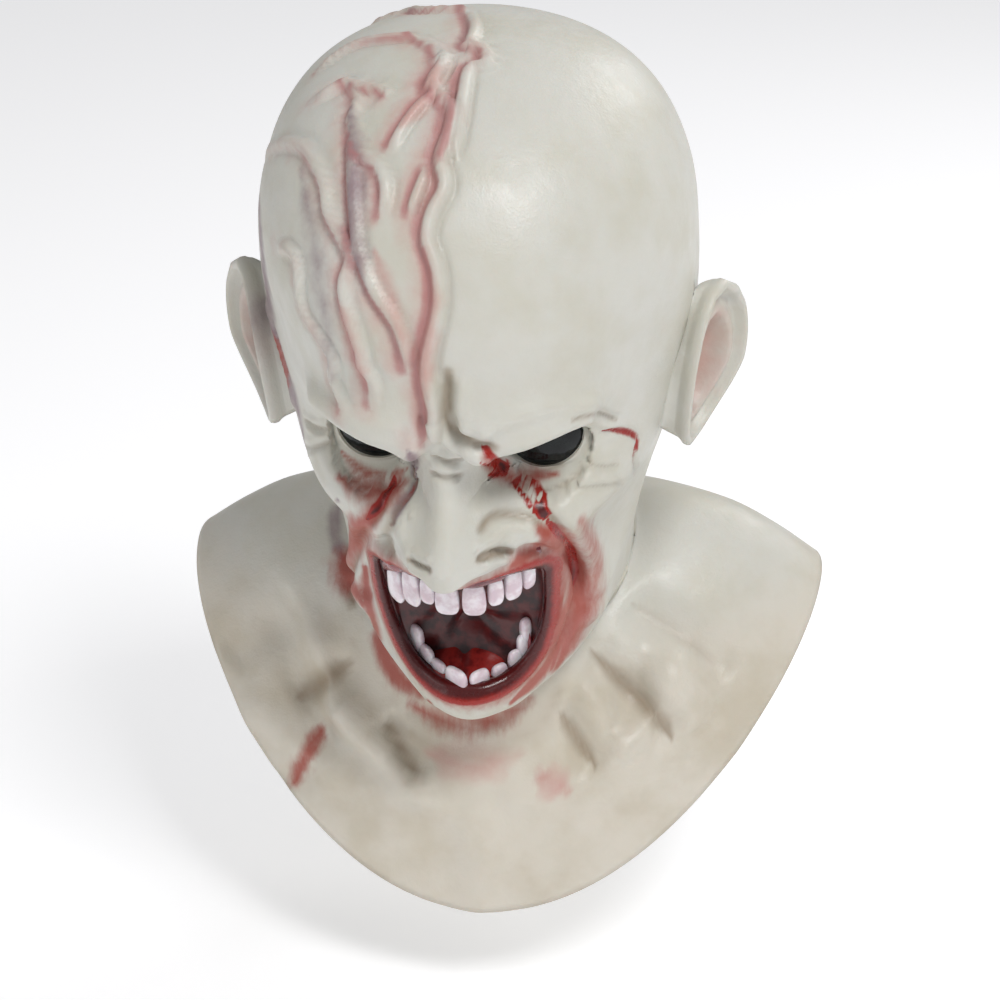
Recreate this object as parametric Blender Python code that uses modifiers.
"""Zombie mask: a hollow full-head latex mask with a neck and chest bib, lenses, teeth and tongue.

Metres, +Z up, face towards -Y, +X to the right of someone who looks at the face. The origin is on the
inside of the crown, where the wearer's head carries the mask. Head sizes are laid out in a head frame whose
origin is at eye level between the ears, and which is pitched forward to its place over the bib.
"""

import math

import bmesh
import bpy
import numpy as np
from mathutils import Vector
from mathutils.bvhtree import BVHTree

# Head, in the head frame
HEAD_WIDTH = 0.187
HEAD_DEPTH = 0.208
HEAD_HEIGHT = 0.284
HEAD_PITCH = math.radians(15.0)

# Neck and bib
BIB_WIDTH = 0.300
BIB_DEPTH = 0.176
BIB_DROP = 0.288

# Wall and the gap that separate pieces keep
WALL = 0.0022
GAP = 0.0003

# Eyes
EYE_SPACING = 0.072
EYE_WIDTH = 0.034
EYE_HEIGHT = 0.0155
EYE_SLANT = math.radians(15.0)
LENS_RADIUS = 0.0200
LENS_DIAMETER = 0.0370
LENS_WALL = 0.0016
LENS_YAW = math.radians(24.0)

# Nose
NOSE_REACH = 0.026
NOSE_LENGTH = 0.056
NOSE_WIDTH = 0.050

# Mouth
MOUTH_WIDTH = 0.074
MOUTH_HEIGHT = 0.075
MOUTH_DEPTH = 0.034
LIP_RISE = 0.0045
LIP_SPREAD = 0.0070
LINING_WALL = 0.0018

# Teeth and tongue
UPPER_TEETH = 10
LOWER_TEETH = 12
UPPER_TOOTH_HEIGHT = 0.0150
LOWER_TOOTH_HEIGHT = 0.0075
TOOTH_THICKNESS = 0.0045
GUM_THICKNESS = 0.0060
GUM_HEIGHT = 0.0060
UPPER_ROW_WIDTH = 0.062
UPPER_ROW_DEPTH = 0.018
UPPER_SETBACK = 0.0020
LOWER_ROW_WIDTH = 0.052
LOWER_ROW_DEPTH = 0.012
LOWER_ROW_RISE = 0.018
LOWER_SETBACK = 0.0054
TONGUE_WIDTH = 0.036
TONGUE_LENGTH = 0.030
TONGUE_HEIGHT = 0.016
TONGUE_SETBACK = 0.017

# Ears
EAR_HEIGHT = 0.080
EAR_WIDTH = 0.038
EAR_THICKNESS = 0.013
EAR_DISH = 0.0055
EAR_FLARE = math.radians(38.0)
EAR_LEAN = math.radians(-15.0)
EAR_STANDOFF = 0.009

# Fineness of the skin
HALF_COLUMNS = 20
FRONT_CROWDING = 0.56

# Sections of the head, from the crown down, in the head frame. Columns: front y, front z, back y, back z as
# shares of HEAD_DEPTH and HEAD_HEIGHT, half width as a share of HEAD_WIDTH, where it is widest from front to
# back, how much the front narrows, and the rows of faces down to the next section.
HEAD_SECTIONS = (
    (0.040, 0.462, 0.040, 0.462, 0.000, 0.50, 0.00, 2),
    (-0.122, 0.446, 0.205, 0.447, 0.190, 0.52, 0.00, 1),
    (-0.268, 0.402, 0.347, 0.404, 0.338, 0.54, 0.00, 2),
    (-0.379, 0.330, 0.452, 0.333, 0.432, 0.55, 0.00, 2),
    (-0.448, 0.238, 0.508, 0.236, 0.486, 0.55, 0.00, 2),
    (-0.478, 0.138, 0.522, 0.127, 0.500, 0.55, 0.00, 2),
    (-0.473, 0.052, 0.522, 0.030, 0.497, 0.56, 0.02, 3),
    (-0.438, -0.022, 0.507, -0.052, 0.483, 0.57, 0.04, 3),
    (-0.433, -0.104, 0.473, -0.127, 0.461, 0.58, 0.08, 3),
    (-0.443, -0.187, 0.424, -0.194, 0.427, 0.60, 0.13, 2),
    (-0.448, -0.246, 0.384, -0.246, 0.399, 0.60, 0.17, 3),
    (-0.433, -0.343, 0.369, -0.299, 0.371, 0.60, 0.21, 3),
    (-0.409, -0.448, 0.379, -0.347, 0.351, 0.60, 0.27, 3),
    (-0.384, -0.526, 0.394, -0.384, 0.343, 0.60, 0.31, 2),
    (-0.325, -0.563, 0.404, -0.410, 0.337, 0.60, 0.30, 1),
    (-0.236, -0.556, 0.414, -0.437, 0.340, 0.58, 0.20, 1),
)

# Sections of the neck and bib, in the upright frame. Columns: front y, front z, back y, back z as shares of
# BIB_DEPTH and BIB_DROP, half width as a share of BIB_WIDTH, where it is widest, how much the front narrows,
# how far the sides are raised as a share of BIB_DROP, and the rows of faces down to the next section.
BIB_SECTIONS = (
    (0.011, -0.528, 0.659, -0.340, 0.203, 0.56, 0.06, 0.000, 1),
    (0.034, -0.590, 0.682, -0.375, 0.220, 0.56, 0.00, 0.042, 2),
    (0.023, -0.667, 0.756, -0.444, 0.283, 0.56, 0.00, 0.132, 2),
    (-0.006, -0.771, 0.835, -0.542, 0.367, 0.56, 0.00, 0.215, 2),
    (-0.034, -0.882, 0.898, -0.639, 0.437, 0.56, 0.00, 0.278, 2),
    (-0.057, -1.000, 0.943, -0.736, 0.500, 0.56, 0.00, 0.337, 1),
)

# Raised and sunk places of the face, in the head frame. Columns: name, how far from the middle as a share of
# HEAD_WIDTH, height as a share of HEAD_HEIGHT, rise, and its spread across and up.
FACE_MOUNDS = (
    ("eye_socket", 0.205, -0.050, -0.0070, 0.019, 0.013),
    ("cheek", 0.245, -0.150, 0.0075, 0.020, 0.016),
    ("cheek_hollow", 0.300, -0.290, -0.0050, 0.018, 0.030),
    ("temple", 0.420, 0.080, -0.0040, 0.022, 0.028),
    ("forehead_boss", 0.170, 0.200, 0.0030, 0.026, 0.022),
    ("chin", 0.000, -0.535, 0.0050, 0.020, 0.012),
    ("chin_fold", 0.000, -0.575, -0.0030, 0.022, 0.006),
)

# Ridges and creases of the face, mirrored on both sides. Columns: name, rise, spread, and the points that it
# runs through as shares of HEAD_WIDTH and HEAD_HEIGHT.
FACE_RIDGES = (
    ("brow", 0.0080, 0.0085, ((0.045, 0.010), (0.120, 0.030), (0.200, 0.048), (0.290, 0.042))),
    ("eye_bag", 0.0025, 0.0050, ((0.090, -0.095), (0.180, -0.110), (0.290, -0.080))),
    ("cheek_fold", -0.0035, 0.0055, ((0.120, -0.175), (0.215, -0.240), (0.270, -0.335), (0.250, -0.430))),
    ("jaw_line", 0.0030, 0.0090, ((0.110, -0.540), (0.220, -0.500), (0.300, -0.400))),
)

# Ridges and hollows of the neck and chest, in the upright frame seen from the front. Columns: name, rise,
# spread, and points as shares of BIB_WIDTH across, positive to the right, and of BIB_DROP up.
CHEST_RIDGES = (
    ("right_tendon", 0.0050, 0.0080, ((0.300, -0.570), (0.250, -0.690), (0.120, -0.770))),
    ("right_hollow", -0.0045, 0.0075, ((0.235, -0.600), (0.205, -0.700), (0.120, -0.790))),
    ("left_tendon", 0.0050, 0.0080, ((-0.270, -0.560), (-0.220, -0.700), (-0.090, -0.800))),
    ("left_hollow", -0.0045, 0.0090, ((-0.330, -0.600), (-0.270, -0.720), (-0.160, -0.790))),
    ("right_collar_bone", 0.0040, 0.0090, ((0.060, -0.800), (0.200, -0.790), (0.360, -0.720))),
    ("left_collar_bone", 0.0040, 0.0090, ((-0.060, -0.810), (-0.200, -0.800), (-0.360, -0.730))),
    ("breast_bone", 0.0025, 0.0100, ((0.000, -0.830), (0.000, -0.980))),
)

# Raised veins on one side of the brow and crown, in the head frame seen from the front. Columns: name,
# thickness, and points as shares of HEAD_WIDTH across and of HEAD_HEIGHT up.
VEINS = (
    ("middle_vein", 0.0062, ((-0.020, 0.400), (-0.045, 0.330), (-0.040, 0.270), (-0.075, 0.200),
                             (-0.060, 0.130), (-0.070, 0.060), (-0.075, 0.010))),
    ("inner_vein", 0.0052, ((-0.250, 0.330), (-0.225, 0.270), (-0.225, 0.210), (-0.175, 0.120),
                            (-0.130, 0.050))),
    ("outer_vein", 0.0052, ((-0.400, 0.270), (-0.310, 0.240), (-0.265, 0.170), (-0.265, 0.110),
                            (-0.215, 0.040))),
)

# Colours and finishes. Columns: name, colour, roughness, coat.
FINISHES = {
    "latex": ((0.57, 0.55, 0.46), 0.42, 0.0),
    "lens": ((0.006, 0.007, 0.009), 0.05, 0.6),
    "mouth_red": ((0.16, 0.012, 0.012), 0.25, 0.3),
    "tooth": ((0.72, 0.65, 0.70), 0.22, 0.3),
    "tongue": ((0.30, 0.020, 0.018), 0.22, 0.3),
}


def head_to_upright(y, z):
    """Turns head frame depth and height into the upright frame."""
    c = math.cos(HEAD_PITCH)
    s = math.sin(HEAD_PITCH)
    return y * c - z * s, y * s + z * c


def upright_to_head(y, z):
    """Turns upright depth and height into the head frame."""
    c = math.cos(HEAD_PITCH)
    s = math.sin(HEAD_PITCH)
    return y * c + z * s, -y * s + z * c


def sections():
    """All sections in the upright frame: front, back, half width, widest, narrowing and side lift."""
    rows = []
    counts = []
    for fy, fz, by, bz, half, widest, narrow, count in HEAD_SECTIONS:
        front = head_to_upright(fy * HEAD_DEPTH, fz * HEAD_HEIGHT)
        back = head_to_upright(by * HEAD_DEPTH, bz * HEAD_HEIGHT)
        rows.append((*front, *back, half * HEAD_WIDTH, widest, narrow, 0.0))
        counts.append(count)
    for fy, fz, by, bz, half, widest, narrow, lift, count in BIB_SECTIONS:
        front = (fy * BIB_DEPTH, fz * BIB_DROP)
        back = (by * BIB_DEPTH, bz * BIB_DROP)
        rows.append((*front, *back, half * BIB_WIDTH, widest, narrow, lift * BIB_DROP))
        counts.append(count)
    return np.array(rows), counts


def smooth_rows(rows, at):
    """Catmull-Rom through the sections; the first one is the pole, so the curve runs on over it."""
    first = rows[1].copy()
    first[0:4] = rows[1][[2, 3, 0, 1]]
    first[4] = -rows[1][4]
    last = 2 * rows[-1] - rows[-2]
    padded = np.vstack([first, rows, last])
    i = np.minimum(at.astype(int), len(rows) - 2)
    t = (at - i)[:, None]
    a, b, c, d = padded[i], padded[i + 1], padded[i + 2], padded[i + 3]
    return 0.5 * (2 * b + (c - a) * t + (2 * a - 5 * b + 4 * c - d) * t**2 + (3 * b - a - 3 * c + d) * t**3)


def skin_places(at, turn):
    """Points of the plain skin at section numbers at and ring angles turn, 0 at the front, all one shape."""
    rows, _ = sections()
    flat = smooth_rows(rows, at.ravel())
    fy, fz, by, bz, half, widest, narrow, lift = (column.reshape(at.shape) for column in flat.T)
    middle_y = fy + widest * (by - fy)
    middle_z = fz + widest * (bz - fz)
    along = np.cos(turn)
    ahead = np.maximum(along, 0.0)
    behind = np.maximum(-along, 0.0)
    x = half * np.sin(turn) * (1.0 - narrow * ahead**2)
    y = middle_y + (fy - middle_y) * ahead + (by - middle_y) * behind
    z = middle_z + (fz - middle_z) * ahead + (bz - middle_z) * behind + lift * np.sin(turn) ** 2
    return np.stack([x, y, z], axis=-1)


def line_distance(across, up, points):
    """Distance of each place to a line through points, with how far along the line it is, 0 to 1."""
    best = np.full(across.shape, 1e9)
    where = np.zeros(across.shape)
    spans = len(points) - 1
    for k in range(spans):
        ax, az = points[k]
        dx = points[k + 1][0] - ax
        dz = points[k + 1][1] - az
        t = np.clip(((across - ax) * dx + (up - az) * dz) / (dx * dx + dz * dz), 0.0, 1.0)
        d = np.hypot(across - ax - t * dx, up - az - t * dz)
        nearer = d < best
        best = np.where(nearer, d, best)
        where = np.where(nearer, (k + t) / spans, where)
    return best, where


def mouth_level():
    """Height of the mouth corners in the head frame."""
    return -0.275 * HEAD_HEIGHT


def mouth_floor():
    """Height of the lowest point of the mouth opening in the head frame."""
    return mouth_level() - 0.83 * MOUTH_HEIGHT


def mouth_middle():
    """Height halfway between the mouth's corners and its lowest point."""
    return 0.5 * (mouth_level() + mouth_floor())


def mouth_outline(count, scale=1.0):
    """Points of the open mouth in the head frame, across and up, anticlockwise from the right corner."""
    corner = mouth_level()
    low = mouth_floor()
    middle = mouth_middle()
    points = []
    for k in range(count):
        a = 2 * math.pi * k / count
        x = 0.5 * MOUTH_WIDTH * math.copysign(abs(math.cos(a)) ** 0.62, math.cos(a))
        if math.sin(a) >= 0:
            z = corner + 0.17 * MOUTH_HEIGHT * math.sin(a) ** 0.7
        else:
            z = corner + (low - corner) * abs(math.sin(a)) ** 0.9
        points.append((x * scale, middle + (z - middle) * scale))
    return points


def eye_outline(side, count, scale=1.0):
    """Points of one eye opening in the head frame: flat slanted top edge and round lower edge."""
    points = []
    for k in range(count):
        a = 2 * math.pi * k / count
        x = 0.5 * EYE_WIDTH * math.cos(a) * scale
        z = EYE_HEIGHT * (0.34 if math.sin(a) > 0 else 0.66) * math.sin(a) * scale
        turned_x = x * math.cos(EYE_SLANT) - z * math.sin(EYE_SLANT)
        turned_z = x * math.sin(EYE_SLANT) + z * math.cos(EYE_SLANT)
        points.append((side * (0.5 * EYE_SPACING + turned_x), turned_z + eye_level()))
    return points


def eye_level():
    """Height of the eye openings' middle in the head frame."""
    return -0.046 * HEAD_HEIGHT


def closed(points):
    """The same outline with its first point again at the end."""
    return [*points, points[0]]


def nose_shape(across, up):
    """How far the nose stands out in front of the face."""
    top = 0.012 * HEAD_HEIGHT
    t = np.clip((top - up) / NOSE_LENGTH, 0.0, 1.6)
    rise = NOSE_REACH * np.interp(t, (0.0, 0.30, 0.85, 1.0, 1.12, 1.25), (0.0, 0.34, 1.0, 0.95, 0.40, 0.0))
    half = NOSE_WIDTH * np.interp(t, (0.0, 0.4, 0.8, 1.1), (0.17, 0.19, 0.30, 0.34))
    ridge = rise * np.exp(-((across / half) ** 2))
    wing_at = 0.36 * NOSE_WIDTH
    wing_up = top - 0.93 * NOSE_LENGTH
    wing = ((np.abs(across) - wing_at) / (0.17 * NOSE_WIDTH)) ** 2 + ((up - wing_up) / (0.13 * NOSE_LENGTH)) ** 2
    return ridge + 0.36 * NOSE_REACH * np.exp(-wing)


def dress_skin(places, normals):
    """Adds brows, sockets, nose, cheeks, lips, folds and collar bones to the plain skin."""
    x = places[..., 0]
    head_y, head_z = upright_to_head(places[..., 1], places[..., 2])
    facing = np.clip((-head_y - 0.02 * HEAD_DEPTH) / (0.12 * HEAD_DEPTH), 0.0, 1.0)
    facing = facing * facing * (3 - 2 * facing)
    on_face = facing * np.clip((head_z + 0.60 * HEAD_HEIGHT) / (0.04 * HEAD_HEIGHT), 0.0, 1.0)
    rise = np.zeros(x.shape)
    for _, off, up, height, across_spread, up_spread in FACE_MOUNDS:
        across = (np.abs(x) - off * HEAD_WIDTH) / across_spread
        upward = (head_z - up * HEAD_HEIGHT) / up_spread
        rise += height * np.exp(-(across**2) - upward**2)
    for _, height, spread, points in FACE_RIDGES:
        line = [(px * HEAD_WIDTH, pz * HEAD_HEIGHT) for px, pz in points]
        distance, _ = line_distance(np.abs(x), head_z, line)
        rise += height * np.exp(-((distance / spread) ** 2))
    distance, _ = line_distance(x, head_z, closed(mouth_outline(40)))
    rise += LIP_RISE * np.exp(-((distance / LIP_SPREAD) ** 2))
    rise *= on_face
    nose = nose_shape(x, head_z) * on_face
    forward = np.zeros(places.shape)
    forward[..., 1] = -math.cos(HEAD_PITCH)
    forward[..., 2] = -math.sin(HEAD_PITCH)
    chest = np.zeros(x.shape)
    below = np.clip((-places[..., 2] - 0.52 * BIB_DROP) / (0.08 * BIB_DROP), 0.0, 1.0)
    ahead = np.clip((normals[..., 1] * -1.0 + 0.2) / 0.4, 0.0, 1.0)
    for _, height, spread, points in CHEST_RIDGES:
        line = [(px * BIB_WIDTH, pz * BIB_DROP) for px, pz in points]
        distance, _ = line_distance(x, places[..., 2], line)
        chest += height * np.exp(-((distance / spread) ** 2))
    chest *= below * ahead * (1.0 - on_face)
    return places + normals * (rise + chest)[..., None] + forward * nose[..., None]


def ring_angles():
    """Angles of the skin's columns, crowded towards the face."""
    t = np.arange(HALF_COLUMNS + 1) / HALF_COLUMNS
    half = math.pi * (FRONT_CROWDING * t + (1.0 - FRONT_CROWDING) * t**2)
    return np.concatenate([half, 2 * math.pi - half[-2:0:-1]])


def ring_heights():
    """Section numbers of the skin's rows, below the pole."""
    _, counts = sections()
    heights = [k + (j + 1) / counts[k] for k in range(len(counts) - 1) for j in range(int(counts[k]))]
    return np.array(heights)


def material(name):
    """A Principled BSDF material in one of the finishes."""
    colour, roughness, coat = FINISHES[name]
    finish = bpy.data.materials.new(name)
    finish.use_nodes = True
    shader = finish.node_tree.nodes["Principled BSDF"]
    shader.inputs["Base Color"].default_value = (*colour, 1.0)
    shader.inputs["Roughness"].default_value = roughness
    shader.inputs["Metallic"].default_value = 0.0
    shader.inputs["Coat Weight"].default_value = coat
    finish.diffuse_color = (*colour, 1.0)
    return finish


def add_object(name, mesh, collection, finish=None):
    """Puts a mesh in a collection as a named object."""
    thing = bpy.data.objects.new(name, mesh)
    collection.objects.link(thing)
    if finish is not None:
        mesh.materials.append(finish)
    return thing


def mesh_from(bm, name):
    """Makes a mesh of a bmesh and frees it."""
    bmesh.ops.recalc_face_normals(bm, faces=bm.faces)
    mesh = bpy.data.meshes.new(name)
    bm.to_mesh(mesh)
    bm.free()
    mesh.shade_smooth()
    return mesh


def mesh_from_kept(bm, name):
    """Makes a mesh of an open bmesh whose faces already point out."""
    mesh = bpy.data.meshes.new(name)
    bm.to_mesh(mesh)
    bm.free()
    mesh.shade_smooth()
    return mesh


def tube_sheet(columns, rows):
    """An open tube of quads from a cylinder's side, with a vertex list for each ring, top first."""
    bm = bmesh.new()
    bmesh.ops.create_cone(bm, cap_ends=False, segments=columns, radius1=1.0, radius2=1.0, depth=1.0)
    upright = [e for e in bm.edges if abs(e.verts[0].co.z - e.verts[1].co.z) > 0.5]
    if rows > 2:
        bmesh.ops.subdivide_edges(bm, edges=upright, cuts=rows - 2, use_grid_fill=True)
    order = sorted(bm.verts, key=lambda v: (-round(v.co.z, 4), math.atan2(v.co.x, -v.co.y) % math.tau))
    return bm, [order[k * columns : (k + 1) * columns] for k in range(rows)]


def plain_skin_sheet():
    """The skin's outer surface before its features: a tube with a pole at the crown and an open rim."""
    angles = ring_angles()
    heights = ring_heights()
    at, turn = np.meshgrid(heights, angles, indexing="ij")
    return skin_places(at, turn)


def skin_sheet():
    """The open outer surface of the skin with its features."""
    places = plain_skin_sheet()
    rows, columns = places.shape[:2]
    bm, rings = tube_sheet(columns, rows)
    for ring, points in zip(rings, places):
        for vertex, point in zip(ring, points):
            vertex.co = point
    pole = bmesh.ops.contextual_create(bm, geom=[e for e in bm.edges if e.is_boundary and e.verts[0] in set(rings[0])])
    bmesh.ops.poke(bm, faces=pole["faces"])
    bmesh.ops.recalc_face_normals(bm, faces=bm.faces)
    bm.verts.ensure_lookup_table()
    top = max(bm.verts, key=lambda v: len(v.link_edges))
    crown = skin_places(np.array([0.0]), np.array([0.0]))[0]
    top.co = crown
    bm.normal_update()
    if top.normal.z < 0:
        bmesh.ops.reverse_faces(bm, faces=bm.faces)
        bm.normal_update()
    start = np.array([v.co[:] for v in bm.verts])
    normals = np.array([v.normal[:] for v in bm.verts])
    for vertex, point in zip(bm.verts, dress_skin(start, normals)):
        vertex.co = point
    return bm


def outline_cutter(name, points, front, back, collection):
    """A prism through the face: an outline in the head frame, from depth front to depth back."""
    bm = bmesh.new()
    corners = []
    for across, up in points:
        y, z = head_to_upright(front, up)
        corners.append(bm.verts.new((across, y, z)))
    face = bm.faces.new(corners)
    along_y, along_z = head_to_upright(back - front, 0.0)
    made = bmesh.ops.extrude_face_region(bm, geom=[face])
    moved = [g for g in made["geom"] if isinstance(g, bmesh.types.BMVert)]
    bmesh.ops.translate(bm, verts=moved, vec=(0.0, along_y, along_z))
    cutter = add_object(name, mesh_from(bm, name), collection)
    hide(cutter)
    return cutter


def ear_form(side):
    """A closed ear: a flat egg with a dished outer face and a rolled rim, in its place on the head."""
    bm = bmesh.new()
    bmesh.ops.create_uvsphere(bm, u_segments=16, v_segments=12, radius=0.5)
    seat_x = 0.470 * HEAD_WIDTH
    for vertex in bm.verts:
        out, back, up = vertex.co * 2.0
        narrow = 1.0 - 0.28 * max(-up, 0.0)
        edge = math.hypot(back, up)
        dish = EAR_DISH * max(0.0, 1.0 - (edge / 0.78) ** 2) if out > 0 else 0.0
        thick = 0.5 * EAR_THICKNESS * out - dish
        wide = 0.5 * EAR_WIDTH * back * narrow
        tall = 0.5 * EAR_HEIGHT * up
        lean_wide = wide * math.cos(EAR_LEAN) - tall * math.sin(EAR_LEAN)
        lean_tall = wide * math.sin(EAR_LEAN) + tall * math.cos(EAR_LEAN)
        stand = 0.5 * EAR_WIDTH * (1 + lean_wide / (0.5 * EAR_WIDTH))
        across = seat_x + EAR_STANDOFF * stand / EAR_WIDTH + thick * math.cos(EAR_FLARE)
        across += (lean_wide + 0.2 * EAR_WIDTH) * math.sin(EAR_FLARE)
        depth = 0.025 * HEAD_DEPTH + lean_wide * math.cos(EAR_FLARE) - thick * math.sin(EAR_FLARE)
        y, z = head_to_upright(depth, lean_tall - 0.068 * HEAD_HEIGHT)
        vertex.co = (side * across, y, z)
    return bm


def tree_of(thing):
    """A search tree of the object's mesh with its modifiers."""
    return BVHTree.FromObject(thing, bpy.context.evaluated_depsgraph_get())


def corners_of(thing):
    """The corners of the object's mesh with its modifiers."""
    shown = thing.evaluated_get(bpy.context.evaluated_depsgraph_get())
    return [v.co.copy() for v in shown.data.vertices]


def seat(thing, base, direction):
    """Moves a piece along a direction until it stands the gap away from what carries it."""
    bpy.context.view_layer.update()
    way = Vector(direction).normalized()
    piece_tree = tree_of(thing)
    base_tree = tree_of(base)
    free = []
    for corner in corners_of(thing):
        hit = base_tree.ray_cast(corner, way)
        if hit[0] is not None:
            free.append(hit[3])
    for corner in corners_of(base):
        hit = piece_tree.ray_cast(corner, -way)
        if hit[0] is not None:
            free.append(hit[3])
    shift(thing, way * (min(free) - GAP))
    while tree_of(thing).overlap(base_tree):
        shift(thing, -way * GAP)


def shift(thing, step):
    """Moves an object's mesh."""
    for vertex in thing.data.vertices:
        vertex.co += step
    thing.data.update()
    bpy.context.view_layer.update()


def forward():
    """The way that the face looks, in the upright frame."""
    return Vector((0.0, *head_to_upright(-1.0, 0.0)))


def upward():
    """The way from chin to crown, in the upright frame."""
    return Vector((0.0, *head_to_upright(0.0, 1.0)))


def vein(name, thickness, points, skin_tree):
    """One raised vein: a smooth tube that runs along the skin, sunk to its middle."""
    line = bpy.data.curves.new(name, "CURVE")
    line.dimensions = "3D"
    line.bevel_depth = 0.5 * thickness
    line.bevel_resolution = 1
    line.use_fill_caps = True
    places = []
    count = 2 * (len(points) - 1)
    for k in range(count + 1):
        t = k / 2
        i = min(int(t), len(points) - 2)
        ring = [points[max(i - 1, 0)], points[i], points[i + 1], points[min(i + 2, len(points) - 1)]]
        across, up = catmull(ring, t - i)
        y, z = head_to_upright(-HEAD_DEPTH, up * HEAD_HEIGHT)
        hit = skin_tree.ray_cast(Vector((across * HEAD_WIDTH, y, z)), -forward())
        if hit[0] is not None:
            places.append(hit[0])
    spline = line.splines.new("POLY")
    spline.points.add(len(places) - 1)
    for k, (point, place) in enumerate(zip(spline.points, places)):
        point.co = (*place, 1.0)
        point.radius = 0.45 + 0.55 * math.sin(math.pi * (k + 0.7) / (len(places) + 0.4)) ** 0.5
    return line


def catmull(ring, t):
    """A point between the second and third of four points."""
    a, b, c, d = (np.array(point) for point in ring)
    return 0.5 * (2 * b + (c - a) * t + (2 * a - 5 * b + 4 * c - d) * t**2 + (3 * b - a - 3 * c + d) * t**3)


def curve_as_mesh(line, name):
    """The mesh of a tube curve with its caps welded."""
    holder = bpy.data.objects.new(name, line)
    bpy.context.scene.collection.objects.link(holder)
    bpy.context.view_layer.update()
    mesh = bpy.data.meshes.new_from_object(holder.evaluated_get(bpy.context.evaluated_depsgraph_get()))
    bpy.data.objects.remove(holder)
    bm = bmesh.new()
    bm.from_mesh(mesh)
    bmesh.ops.remove_doubles(bm, verts=bm.verts, dist=1e-6)
    bpy.data.meshes.remove(mesh)
    return mesh_from(bm, name)


def boolean(thing, other, operation):
    """Adds a Boolean modifier by another object."""
    step = thing.modifiers.new(other.name, "BOOLEAN")
    step.operation = operation
    step.object = other


def hide(thing):
    """Marks an object as a cutter or a guide."""
    thing.hide_render = True
    thing.display_type = "WIRE"


def build_skin(parts, cutters):
    """The hollow skin with its ears, veins, eye openings and mouth opening."""
    skin = add_object("latex_skin", mesh_from_kept(skin_sheet(), "latex_skin"), parts, material("latex"))
    bpy.context.view_layer.update()
    sheet_tree = tree_of(skin)
    shell = skin.modifiers.new("wall", "SOLIDIFY")
    shell.thickness = WALL
    shell.offset = -1.0
    shell.use_even_offset = False
    for side, word in ((-1, "left"), (1, "right")):
        ear = add_object(f"{word}_ear_form", mesh_from(ear_form(side), f"{word}_ear_form"), cutters)
        hide(ear)
        boolean(skin, ear, "UNION")
    for name, thickness, points in VEINS:
        tube = add_object(name, curve_as_mesh(vein(name, thickness, points, sheet_tree), name), cutters)
        hide(tube)
        boolean(skin, tube, "UNION")
    front = -0.75 * HEAD_DEPTH
    back = -0.16 * HEAD_DEPTH
    openings = [outline_cutter("mouth_cutter", mouth_outline(28), front, back, cutters)]
    for side, word in ((-1, "left"), (1, "right")):
        openings.append(outline_cutter(f"{word}_eye_cutter", eye_outline(side, 16), front, back, cutters))
    for cutter in openings:
        boolean(skin, cutter, "DIFFERENCE")
    return skin


def build_lens(side, word, skin, parts):
    """A domed eye lens seated behind the lids."""
    bm = bmesh.new()
    bmesh.ops.create_uvsphere(bm, u_segments=12, v_segments=14, radius=LENS_RADIUS)
    edge = math.sqrt(LENS_RADIUS**2 - (0.5 * LENS_DIAMETER) ** 2)
    everything = [*bm.verts, *bm.edges, *bm.faces]
    bmesh.ops.bisect_plane(bm, geom=everything, plane_co=(0, 0, edge), plane_no=(0, 0, -1), clear_outer=True)
    yaw = side * LENS_YAW
    for vertex in bm.verts:
        x, up, ahead = vertex.co
        across = x * math.cos(yaw) + ahead * math.sin(yaw)
        depth = x * math.sin(yaw) - ahead * math.cos(yaw)
        place = head_to_upright(depth - 0.18 * HEAD_DEPTH, up + eye_level() - 0.15 * EYE_HEIGHT)
        vertex.co = (across + side * 0.5 * EYE_SPACING, *place)
    lens = add_object(f"{word}_eye_lens", mesh_from_kept(bm, f"{word}_eye_lens"), parts, material("lens"))
    shell = lens.modifiers.new("wall", "SOLIDIFY")
    shell.thickness = LENS_WALL
    shell.offset = -1.0
    seat(lens, skin, forward())
    return lens


def build_lining(skin, parts):
    """The cup behind the mouth: a rim that follows the inside of the lips, and a closed back."""
    columns = 28
    steps = ((1.14, 0.00), (1.10, 0.14), (1.06, 0.35), (0.98, 0.62), (0.82, 0.86), (0.45, 0.98))
    tree = tree_of(skin)
    bm, rings = tube_sheet(columns, len(steps))
    rim = []
    for across, up in mouth_outline(columns, steps[0][0]):
        start = Vector((across, *head_to_upright(-0.05 * HEAD_DEPTH, up)))
        hit = tree.ray_cast(start, forward())
        depth = upright_to_head(hit[0].y, hit[0].z)[0] if hit[0] is not None else -0.40 * HEAD_DEPTH
        rim.append(max(depth, -0.415 * HEAD_DEPTH))
    deepest = max(rim)
    back = min(rim) + MOUTH_DEPTH
    back = max(back, deepest + 0.3 * MOUTH_DEPTH)
    for ring, (scale, share) in zip(rings, steps):
        for vertex, (across, up), lip in zip(ring, mouth_outline(columns, scale), rim):
            vertex.co = (across, *head_to_upright(lip + 0.0012 + (back - lip) * share, up))
    ends = [e for e in bm.edges if e.is_boundary and e.verts[0] in set(rings[-1])]
    made = bmesh.ops.contextual_create(bm, geom=ends)
    bmesh.ops.poke(bm, faces=made["faces"])
    bmesh.ops.recalc_face_normals(bm, faces=bm.faces)
    inward = sum(f.normal.dot(f.calc_center_median() - middle_of(bm)) for f in bm.faces) < 0
    if inward:
        bmesh.ops.reverse_faces(bm, faces=bm.faces)
    lining = add_object("mouth_lining", mesh_from_kept(bm, "mouth_lining"), parts, material("mouth_red"))
    shell = lining.modifiers.new("wall", "SOLIDIFY")
    shell.thickness = LINING_WALL
    shell.offset = -1.0
    seat(lining, skin, forward())
    return lining


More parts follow.
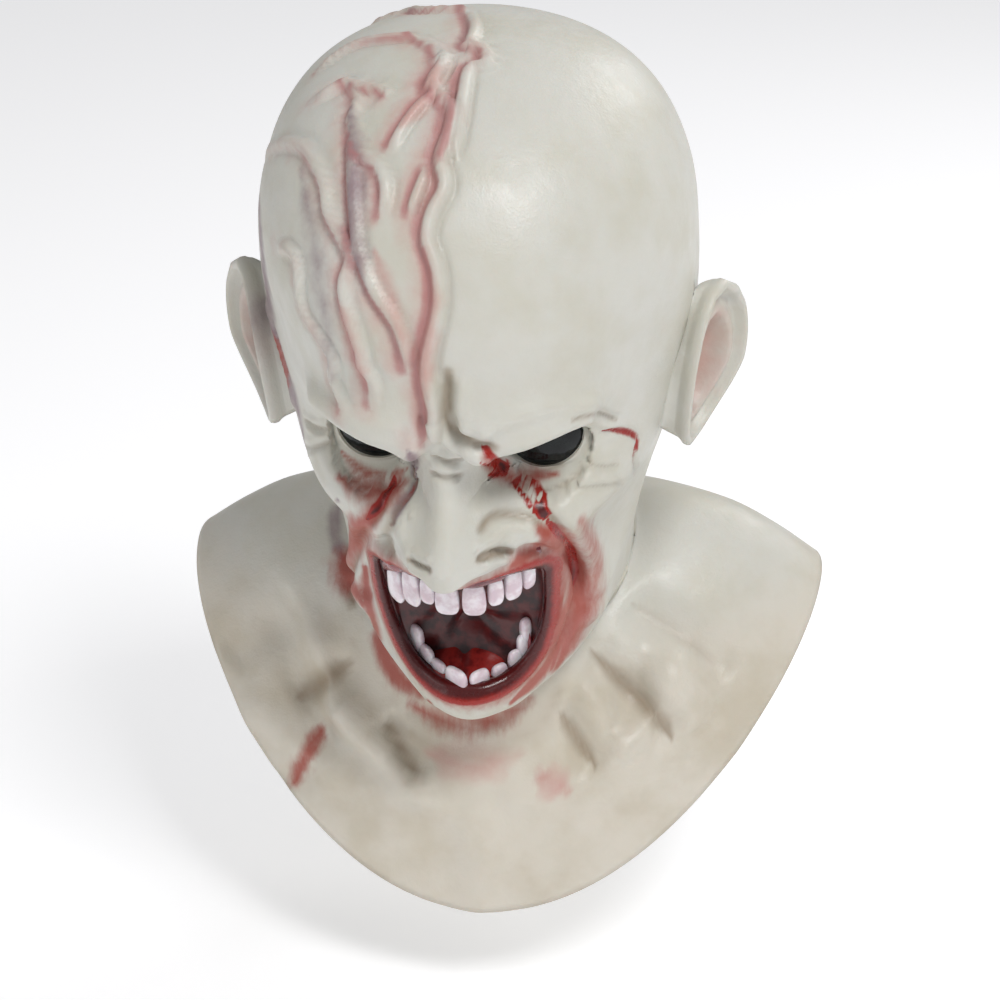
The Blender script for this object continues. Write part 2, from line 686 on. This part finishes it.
def middle_of(bm):
    """The mean of a bmesh's corners."""
    total = Vector()
    for vertex in bm.verts:
        total += vertex.co
    return total / len(bm.verts)


def lining_front(lining, way):
    """The least head frame depth of the lining near its mid-line, above its middle if way is 1, else below."""
    depths = []
    for corner in corners_of(lining):
        depth, height = upright_to_head(corner.y, corner.z)
        past_middle = way * (height - mouth_middle()) > 0
        if past_middle and abs(corner.x) < 0.15 * MOUTH_WIDTH:
            depths.append(depth)
    return min(depths)


def tooth_row(name, count, tooth_height, width, arch_depth, front, rise, up_sign, parts):
    """A row of teeth on its gum: a bar along the arch whose section narrows between the teeth.

    It is made at the mouth's middle, and seated afterwards.
    """
    per_tooth = 4
    around = 8
    stations = count * per_tooth + 1
    bm = bmesh.new()
    bmesh.ops.create_cone(bm, cap_ends=True, segments=around, radius1=1.0, radius2=1.0, depth=1.0)
    upright = [e for e in bm.edges if abs(e.verts[0].co.z - e.verts[1].co.z) > 0.5]
    bmesh.ops.subdivide_edges(bm, edges=upright, cuts=stations - 2, use_grid_fill=True)
    order = sorted(bm.verts, key=lambda v: (-round(v.co.z, 5), math.atan2(v.co.x, -v.co.y) % math.tau))
    for k in range(stations):
        swing = math.radians(80.0) * (2 * k / (stations - 1) - 1)
        bulge = abs(math.sin(math.pi * k / per_tooth))
        out_x = math.sin(swing)
        out_y = -math.cos(swing)
        for j in range(around):
            turn = math.tau * j / around
            up = math.cos(turn)
            out = math.sin(turn)
            if up > 0.1:
                thick = 0.5 * GUM_THICKNESS
                tall = GUM_HEIGHT * up
            else:
                thick = 0.5 * TOOTH_THICKNESS * (0.55 + 0.45 * bulge)
                tall = tooth_height * (0.72 + 0.28 * bulge) * up
            across = 0.5 * width * out_x + thick * out * out_x
            depth = front + arch_depth * (1 - math.cos(swing)) + thick * out * out_y
            height = mouth_middle() + rise * (1 - math.cos(swing)) + up_sign * tall
            order[k * around + j].co = (across, *head_to_upright(depth, height))
    return add_object(name, mesh_from(bm, name), parts, material("tooth"))


def build_mouth(skin, parts):
    """The mouth's lining, both rows of teeth and the tongue."""
    lining = build_lining(skin, parts)
    upper_front = lining_front(lining, 1) + UPPER_SETBACK
    upper = tooth_row("upper_teeth", UPPER_TEETH, UPPER_TOOTH_HEIGHT, UPPER_ROW_WIDTH, UPPER_ROW_DEPTH,
                      upper_front, 0.0, 1, parts)
    seat(upper, lining, upward())
    lower_front = lining_front(lining, -1) + LOWER_SETBACK
    lower = tooth_row("lower_teeth", LOWER_TEETH, LOWER_TOOTH_HEIGHT, LOWER_ROW_WIDTH, LOWER_ROW_DEPTH,
                      lower_front, LOWER_ROW_RISE, -1, parts)
    seat(lower, lining, -upward())
    bm = bmesh.new()
    bmesh.ops.create_uvsphere(bm, u_segments=14, v_segments=8, radius=0.5)
    for vertex in bm.verts:
        x, y, z = vertex.co
        groove = 0.18 * math.exp(-((x / 0.12) ** 2)) * max(z, 0.0)
        up = (z - groove) * TONGUE_HEIGHT * (1.0 + 0.9 * y)
        depth = lower_front + TONGUE_SETBACK + y * TONGUE_LENGTH
        vertex.co = (x * TONGUE_WIDTH, *head_to_upright(depth, mouth_middle() + up))
    tongue = add_object("tongue", mesh_from(bm, "tongue"), parts, material("tongue"))
    seat(tongue, lining, -upward())


def crown_seat():
    """The highest place inside the crown, where the wearer's head carries the mask."""
    at = np.linspace(0.0, 3.0, 301)
    front = skin_places(at, np.zeros(301))
    back = skin_places(at, np.full(301, math.pi))
    line = np.vstack([front, back])
    top = line[np.argmax(line[:, 2])]
    return Vector((0.0, top[1], top[2] - WALL))


def main():
    """Builds the mask and moves its origin to the inside of the crown."""
    for thing in list(bpy.data.objects):
        bpy.data.objects.remove(thing)
    parts = bpy.data.collections.new("zombie_mask")
    cutters = bpy.data.collections.new("cutters")
    bpy.context.scene.collection.children.link(parts)
    bpy.context.scene.collection.children.link(cutters)
    skin = build_skin(parts, cutters)
    for side, word in ((-1, "left"), (1, "right")):
        build_lens(side, word, skin, parts)
    build_mouth(skin, parts)
    origin = crown_seat()
    for thing in [*parts.objects, *cutters.objects]:
        for vertex in thing.data.vertices:
            vertex.co -= origin


main()
